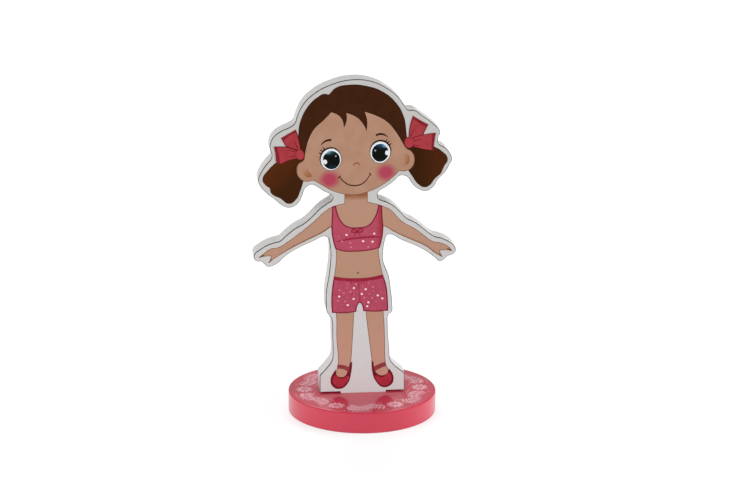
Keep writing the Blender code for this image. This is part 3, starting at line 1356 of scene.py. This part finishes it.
@dataclass
class BowPrint(PrintedArea):
    """The two ribbon bows: loops, darker turned ends, knots and creases."""

    ribbon: Ink = Ink("ribbon_ink", "#A33B43", "#9B363C", patch=4.0)
    edge: Ink = Ink("ribbon_edge_ink", "#561019", "#4E0E16", patch=3.0)
    turned: Ink = Ink("ribbon_end_ink", "#85242C", "#7B1F27", patch=3.0)
    crease: Ink = Ink("ribbon_crease_ink", "#70161F", "#66121A", patch=3.0)
    upper_rim: float = 0.38
    lower_rim: float = 0.3
    knot_rim: float = 0.2
    left_upper: Outline = (
        (-41.4, 144.5, SHARP), (-37.4, 146.8), (-34.0, 148.7, SHARP), (-32.5, 143.7),
        (-31.4, 138.0, SHARP), (-35.0, 138.6), (-39.0, 140.1, SHARP),
    )
    left_lower: Outline = (
        (-44.9, 140.3, SHARP), (-38.6, 140.0), (-33.6, 138.2, SHARP), (-33.4, 134.0, SHARP),
        (-38.0, 132.8), (-42.4, 131.3), (-43.9, 132.7, SHARP), (-44.2, 136.4),
    )
    right_upper: Outline = (
        (21.7, 142.2, SHARP), (22.5, 149.6), (23.9, 154.5, SHARP), (27.6, 152.1), (31.6, 149.9, SHARP),
        (29.0, 144.6, SHARP), (25.6, 142.6),
    )
    right_lower: Outline = (
        (24.0, 143.6, SHARP), (29.4, 144.9), (35.4, 145.6, SHARP), (34.7, 141.0), (34.3, 136.5, SHARP),
        (29.6, 137.2), (24.3, 138.6, SHARP),
    )
    left_end: Outline = (
        (-44.9, 140.3, SHARP), (-43.4, 140.3, SHARP), (-42.5, 136.4), (-41.9, 131.5, SHARP),
        (-43.9, 132.7, SHARP), (-44.2, 136.4),
    )
    right_end: Outline = (
        (33.7, 145.4, SHARP), (35.4, 145.6, SHARP), (34.7, 141.0), (34.3, 136.5, SHARP),
        (33.4, 136.6, SHARP), (33.5, 141.0),
    )
    left_fold: Outline = (
        (-41.4, 144.5, SHARP), (-37.4, 146.8), (-34.0, 148.7, SHARP), (-33.7, 147.4, SHARP),
        (-36.8, 145.8), (-40.4, 142.9, SHARP),
    )
    right_fold: Outline = (
        (23.9, 154.5, SHARP), (27.6, 152.1), (31.6, 149.9, SHARP), (30.8, 148.4, SHARP), (27.2, 150.6),
        (23.6, 153.1, SHARP),
    )
    left_knot: Outline = (
        (-34.1, 136.8), (-33.2, 138.3), (-31.6, 138.4), (-30.2, 137.0), (-30.0, 134.8), (-31.0, 133.4),
        (-32.8, 133.5), (-34.0, 134.7),
    )
    right_knot: Outline = (
        (19.8, 141.6), (20.7, 143.3), (22.6, 143.7), (24.3, 142.6), (24.6, 140.4), (23.6, 138.6),
        (21.6, 138.2), (20.2, 139.4),
    )
    creases: tuple[PenPath, ...] = (
        ((-34.4, 137.4, 0.25), (-36.4, 138.0, 0.14), (-38.6, 138.2, 0.05)),
        ((-34.5, 135.2, 0.22), (-36.4, 135.0, 0.13), (-38.2, 135.2, 0.05)),
        ((-33.2, 139.2, 0.22), (-34.0, 141.0, 0.14), (-35.0, 142.8, 0.05)),
        ((24.8, 141.9, 0.25), (26.6, 142.2, 0.14), (28.8, 142.3, 0.05)),
        ((24.9, 139.6, 0.22), (26.8, 139.2, 0.13), (28.6, 139.1, 0.05)),
        ((23.0, 144.2, 0.22), (23.7, 146.0, 0.14), (24.6, 147.8, 0.05)),
    )

    def build(self) -> None:
        """Print the bows."""
        uppers = (self.left_upper, self.right_upper)
        lowers = (self.left_lower, self.right_lower)
        self.fill("print_bow_upper_edges", self.edge, 8, *uppers)
        self.fill("print_bow_upper_faces", self.ribbon, 9, *uppers, inset=self.upper_rim)
        self.fill("print_bow_lower_edges", self.edge, 10, *lowers)
        self.fill("print_bow_lower_faces", self.ribbon, 11, *lowers, inset=self.lower_rim)
        self.fill("print_bow_folds", self.turned, 10, self.left_fold, self.right_fold)
        self.fill("print_bow_ends", self.turned, 12, self.left_end, self.right_end)
        knots = (self.left_knot, self.right_knot)
        self.fill("print_bow_knot_rims", self.turned, 12, *knots)
        self.fill("print_bow_knots", self.ribbon, 13, *knots, inset=self.knot_rim)
        self.line("print_bow_creases", self.crease, 12, *self.creases)


@dataclass
class FacePrint(PrintedArea):
    """Eyes, lashes, brows, nose and mouth."""

    white: Ink = Ink("eye_white_ink", "#E4E4E6", "#DADBDF", patch=2.5)
    rim: Ink = Ink("eye_rim_ink", "#3F2D2A", "#352523", patch=2.0)
    iris: Ink = Ink(
        "iris_ink", "#0D0F0C", "#101311", patch=1.5,
        spots=(
            Spot(-17.5, 138.2, 4.6, 3.6, "#33535F", 0.9),
            Spot(-18.7, 137.2, 2.6, 1.7, "#7FA3AF", 0.8),
            Spot(-15.8, 128.8, 3.4, 2.2, "#16323F", 0.5),
            Spot(8.5, 141.2, 4.6, 3.6, "#1F4765", 0.9),
            Spot(10.4, 139.7, 2.2, 1.6, "#6D97B5", 0.8),
            Spot(7.6, 131.4, 3.2, 1.8, "#16323F", 0.4),
        ),
    )
    glint: Ink = Ink("eye_glint_ink", "#E2E5E8", "#D8DCE1", patch=1.5)
    small_glint: Ink = Ink("small_glint_ink", "#9DA3A8", "#949BA1", patch=1.0)
    line_ink: Ink = Ink("line_ink", "#3A1405", "#331103", patch=2.0)
    lash_ink: Ink = Ink("lash_ink", "#1F0E0B", "#1A0B08", patch=2.0)
    nose_ink: Ink = Ink("nose_ink", "#98603F", "#915A3B", patch=2.0)
    eye_rim: float = 0.25
    eyes: tuple[Outline, ...] = (
        ellipse(-16.7, 133.15, 5.3, 5.75, 6.0), ellipse(7.85, 136.35, 5.2, 5.75, -4.0),
    )
    irises: tuple[Outline, ...] = (
        ellipse(-16.4, 132.8, 4.2, 4.65, 6.0), ellipse(7.75, 136.0, 4.1, 4.55, -4.0),
    )
    glints: tuple[Outline, ...] = (
        ellipse(-19.6, 132.0, 0.95, 1.2, 20.0), ellipse(11.2, 135.9, 0.95, 1.2, 10.0),
    )
    small_glints: tuple[Outline, ...] = (
        ellipse(-14.3, 134.8, 0.42, 0.45), ellipse(5.3, 137.2, 0.42, 0.45),
    )
    lash_lines: tuple[PenPath, ...] = (
        arc(-16.7, 133.15, 5.3, 5.85, 215.0, 20.0, 0.42), arc(7.85, 136.35, 5.25, 5.8, 175.0, -20.0, 0.46),
    )
    brows: tuple[PenPath, ...] = (
        ((-21.6, 140.6, 0.18), (-20.1, 142.1, 0.38), (-18.2, 142.9, 0.54), (-16.4, 143.1, 0.46)),
        ((5.6, 144.9, 0.46), (7.4, 145.5, 0.54), (9.6, 145.2, 0.42), (11.6, 143.9, 0.16)),
    )
    mouth: PenPath = (
        (-12.3, 124.1, 0.22), (-10.3, 121.7, 0.27), (-7.9, 120.1, 0.3), (-5.2, 119.5, 0.32),
        (-2.5, 119.8, 0.3), (-0.1, 121.1, 0.27), (2.9, 124.9, 0.22),
    )
    dimples: tuple[PenPath, ...] = (
        ((-13.2, 123.4, 0.16), (-12.5, 124.1, 0.3), (-11.8, 124.7, 0.16)),
        ((2.4, 126.0, 0.16), (2.9, 125.3, 0.3), (3.5, 124.5, 0.16)),
    )
    nose: PenPath = (
        (-5.5, 129.8, 0.3), (-4.9, 130.6, 0.42), (-4.0, 131.0, 0.36), (-3.0, 130.8, 0.42),
        (-2.4, 130.0, 0.26),
    )
    lashes: tuple[PenPath, ...] = (
        ((-21.0, 135.7, 0.32), (-21.9, 136.3, 0.28), (-22.9, 136.6, 0.12)),
        ((-20.6, 137.0, 0.32), (-21.3, 137.7, 0.27), (-22.2, 138.1, 0.11)),
        ((-19.6, 138.0, 0.32), (-20.2, 138.8, 0.26), (-20.9, 139.4, 0.1)),
        ((10.4, 141.4, 0.26), (10.8, 142.2, 0.23), (11.2, 143.0, 0.1)),
        ((11.4, 140.8, 0.27), (11.9, 141.5, 0.24), (12.5, 142.1, 0.1)),
        ((12.2, 139.8, 0.29), (12.8, 140.3, 0.26), (13.5, 140.7, 0.11)),
    )

    def build(self) -> None:
        """Print the face."""
        self.fill("print_eye_rims", self.rim, 6, *self.eyes)
        self.fill("print_eye_whites", self.white, 7, *self.eyes, inset=self.eye_rim)
        self.fill("print_irises", self.iris, 8, *self.irises)
        self.fill("print_eye_glints", self.glint, 9, *self.glints)
        self.fill("print_small_eye_glints", self.small_glint, 9, *self.small_glints)
        self.line("print_lash_lines", self.lash_ink, 8, *self.lash_lines)
        self.line("print_lashes", self.lash_ink, 6, *self.lashes)
        self.line("print_brows", self.line_ink, 6, *self.brows)
        self.line("print_mouth", self.line_ink, 6, self.mouth, *self.dimples)
        self.line("print_nose", self.nose_ink, 6, self.nose)


@dataclass
class OutfitPrint(PrintedArea):
    """The dotted top and shorts with their darker bindings."""

    cloth: Ink = Ink("pink_cloth_ink", "#B04C61", "#A8455A", patch=2.2)
    top_cloth: Ink = Ink(
        "pink_cloth_ink_in_shade", "#B04C61", "#993038", patch=2.2, fade=((5.0, 95.0), (9.8, 95.0))
    )
    binding: Ink = Ink("binding_ink", "#7C1F38", "#741B33", patch=2.5)
    band: Ink = Ink("waistband_ink", "#97283D", "#8F2338", patch=2.5)
    white_dot: Ink = Ink("white_dot_ink", "#F2D6DC", "#EACAD2", patch=1.0)
    pink_dot: Ink = Ink("pink_dot_ink", "#D5849A", "#CB788D", patch=1.0)
    faint_dot: Ink = Ink("faint_dot_ink", "#C0647B", "#B75B72", patch=1.0)
    top: Outline = (
        (-16.1, 109.0, SHARP), (-14.1, 109.3, SHARP), (-13.4, 105.9), (-11.2, 101.1), (-8.2, 98.6),
        (-2.7, 98.0), (2.0, 99.0), (4.8, 102.4), (6.4, 106.4), (7.0, 109.4, SHARP), (8.9, 109.0, SHARP),
        (9.2, 103.0), (9.6, 97.0), (9.0, 91.4), (7.8, 86.9, SHARP), (3.4, 85.9), (-4.5, 85.3),
        (-11.2, 85.8), (-14.5, 87.1, SHARP), (-15.6, 91.2), (-16.4, 98.0), (-16.2, 104.0),
    )
    shorts: Outline = (
        (-15.1, 72.8, SHARP), (-10.5, 71.9), (-4.0, 71.5), (3.0, 71.8), (9.6, 73.1, SHARP), (11.4, 67.1),
        (12.2, 59.5), (12.4, 54.0, SHARP), (6.6, 53.6), (-0.2, 54.1, SHARP), (-0.9, 57.3), (-1.9, 58.5),
        (-3.0, 57.5), (-3.8, 53.8, SHARP), (-10.0, 53.2), (-16.1, 53.7, SHARP), (-16.4, 60.5),
        (-15.9, 67.4),
    )
    waistband: Outline = (
        (-15.1, 72.8, SHARP), (-10.5, 71.9), (-4.0, 71.5), (3.0, 71.8), (9.6, 73.1, SHARP),
        (10.2, 71.1, SHARP), (3.0, 70.0), (-4.0, 69.6), (-10.5, 70.1), (-15.5, 70.8, SHARP),
    )
    seam: PenPath = (
        (-14.9, 90.6, 0.1), (-10.5, 91.4, 0.35), (-5.0, 92.3, 0.45), (0.4, 92.7, 0.45), (6.2, 92.8, 0.35),
        (8.7, 92.2, 0.1),
    )
    front_seam: PenPath = ((-2.6, 69.6, 0.22), (-2.4, 65.0, 0.12), (-2.1, 61.5, 0.16), (-1.9, 58.8, 0.3))
    top_gathers: tuple[float, ...] = (-9.2, -7.1, -5.6, -1.4, 0.3, 2.4, 4.4)
    top_gather: PenPath = ((0.0, 91.9, 0.22), (0.1, 92.8, 0.16), (0.3, 93.9, 0.05))
    waist_gathers: tuple[float, ...] = (-6.4, -5.0, -3.8, -1.3, -0.1, 1.4)
    waist_gather: PenPath = ((0.0, 70.3, 0.25), (0.1, 69.2, 0.16), (0.3, 68.0, 0.05))
    bow: tuple[PenPath, ...] = (
        ((-3.5, 96.2, 0.3), (-5.2, 97.0, 0.36), (-6.3, 96.2, 0.34), (-5.0, 95.4, 0.34), (-3.5, 96.1, 0.3)),
        ((-3.5, 96.2, 0.3), (-1.7, 97.1, 0.36), (-0.6, 96.4, 0.34), (-1.9, 95.5, 0.34), (-3.5, 96.1, 0.3)),
        ((-3.6, 96.0, 0.34), (-4.1, 94.6, 0.3), (-4.9, 93.4, 0.14)),
        ((-3.4, 96.0, 0.34), (-2.8, 94.7, 0.3), (-1.9, 93.6, 0.14)),
    )
    binding_width: float = 0.6
    band_rim: float = 0.1
    golden_angle: float = 137.5
    first_angle: float = 40.0
    dot_stretch: float = 1.15
    seam_height: float = 92.1
    seam_clear: float = 1.1
    front_seam_place: float = -2.3
    front_seam_clear: float = 0.9
    leg_cut: tuple[float, float] = (-2.0, 56.0)
    leg_cut_squeeze: float = 0.7
    leg_cut_clear: float = 3.4
    # Ovals of dots: the middle, half the width, half the height and how many
    dot_ovals: tuple[tuple[float, float, float, float, int], ...] = (
        (-3.4, 92.2, 10.4, 5.4, 16), (-2.2, 62.6, 12.6, 7.0, 34),
    )

    def build(self) -> None:
        """Print the clothes."""
        self.fill("print_top_binding", self.binding, 3, self.top)
        self.fill("print_top", self.top_cloth, 4, self.top, inset=self.binding_width)
        gathers = [
            tuple((x + lean, height, half_width) for lean, height, half_width in stroke)
            for places, stroke in (
                (self.top_gathers, self.top_gather), (self.waist_gathers, self.waist_gather)
            )
            for x in places
        ]
        self.line("print_seams", self.band, 5, self.seam, self.front_seam, *gathers)
        self.line("print_top_bow", self.band, 6, *self.bow)
        self.fill("print_shorts_binding", self.binding, 3, self.shorts)
        self.fill("print_shorts", self.cloth, 4, self.shorts, inset=self.binding_width)
        self.fill("print_waistband", self.band, 5, self.waistband, inset=self.band_rim)
        places = [
            place for oval in self.dot_ovals for place in self.scatter(*oval) if self.is_clear(*place)
        ]
        kinds = (
            ("white", self.white_dot, 0.5), ("faint", self.faint_dot, 0.42), ("pink", self.pink_dot, 0.4)
        )
        for turn, (name, ink, radius) in enumerate(kinds):
            dots = [ellipse(x, z, radius * self.dot_stretch, radius) for x, z in places[turn::len(kinds)]]
            self.fill(f"print_{name}_dots", ink, 5, *dots)

    def is_clear(self, x: float, z: float) -> bool:
        """Tell whether a dot keeps clear of the seams and of the cut between the legs.

        Args:
            x: the dot's middle.
            z: the dot's middle.

        Returns:
            True if it does.
        """
        cut_x, cut_z = self.leg_cut
        from_cut = math.hypot(x - cut_x, (z - cut_z) * self.leg_cut_squeeze)
        return (
            abs(z - self.seam_height) > self.seam_clear
            and abs(x - self.front_seam_place) > self.front_seam_clear
            and from_cut > self.leg_cut_clear
        )

    def scatter(
        self, x: float, z: float, across: float, upward: float, count: int
    ) -> list[tuple[float, float]]:
        """Spread dots evenly over an oval, each turned from the last by the golden angle.

        Args:
            x: the oval's middle.
            z: the oval's middle.
            across: half the oval's width.
            upward: half the oval's height.
            count: how many dots.

        Returns:
            The dots' places.
        """
        places = []
        for number in range(count):
            reach = math.sqrt((number + 0.5) / count)
            angle = math.radians(number * self.golden_angle + self.first_angle)
            places.append((x + across * reach * math.cos(angle), z + upward * reach * math.sin(angle)))
        return places


@dataclass
class ShoePrint(PrintedArea):
    """The two strap shoes."""

    leather: Ink = Ink("red_shoe_ink", "#A83040", "#9F2B39", patch=3.0)
    side: Ink = Ink("shoe_side_ink", "#7A1A2B", "#731727", patch=2.5)
    edge: Ink = Ink("shoe_edge_ink", "#641423", "#5C111E", patch=2.5)
    strap_ink: Ink = Ink("shoe_strap_ink", "#8C3D42", "#84383C", patch=2.0)
    side_rim: float = 0.4
    left_shoe: Outline = (
        (-5.7, 27.6, SHARP), (-6.2, 21.9), (-8.1, 15.7), (-11.4, 13.2), (-15.3, 14.2), (-16.7, 17.8),
        (-15.6, 21.2), (-14.0, 23.4, SHARP), (-13.7, 20.7), (-11.0, 19.3), (-8.9, 20.4), (-7.9, 23.1),
        (-6.8, 26.9, SHARP),
    )
    right_shoe: Outline = (
        (4.1, 28.0, SHARP), (5.1, 26.7, SHARP), (5.7, 22.8), (7.2, 20.6), (9.6, 19.7), (12.1, 20.7),
        (13.0, 23.3, SHARP), (14.7, 20.7), (15.4, 17.5), (14.3, 14.7), (10.2, 13.3), (6.3, 16.8),
        (4.5, 22.0),
    )
    left_toe: Outline = (
        (-7.4, 19.8), (-8.6, 16.4), (-11.4, 14.2), (-14.4, 15.2), (-15.6, 17.8), (-14.8, 20.2),
        (-13.9, 20.5, SHARP), (-11.0, 18.5), (-8.3, 19.8, SHARP),
    )
    right_toe: Outline = (
        (6.0, 19.6), (7.2, 16.8), (10.2, 14.3), (13.3, 15.4), (14.4, 17.7), (13.7, 20.3),
        (12.9, 21.2, SHARP), (9.6, 18.6), (6.9, 19.7, SHARP),
    )
    left_strap: Outline = (
        (-13.1, 26.1, SHARP), (-10.3, 25.8), (-6.9, 24.4, SHARP), (-7.6, 22.2, SHARP), (-10.6, 23.7),
        (-13.4, 24.0, SHARP),
    )
    right_strap: Outline = (
        (5.1, 24.4, SHARP), (8.5, 26.0), (11.0, 26.8, SHARP), (11.6, 24.7, SHARP), (9.2, 23.8),
        (5.9, 22.1, SHARP),
    )

    def build(self) -> None:
        """Print the shoes."""
        self.fill("print_shoe_edges", self.edge, 3, self.left_shoe, self.right_shoe)
        self.fill("print_shoe_sides", self.side, 4, self.left_shoe, self.right_shoe, inset=self.side_rim)
        self.fill("print_shoes", self.leather, 5, self.left_toe, self.right_toe)
        self.fill("print_shoe_straps", self.strap_ink, 6, self.left_strap, self.right_strap)


def main() -> None:
    """Build the studio and every piece in order."""
    logging.basicConfig(level=logging.INFO, format="%(message)s")
    Studio().build()
    for assembly in (
        TurnedBase, FigureLaminate, SkinPrint, HairPrint, BowPrint, FacePrint, OutfitPrint, ShoePrint
    ):
        assembly().build()


if __name__ == "__main__":
    main()
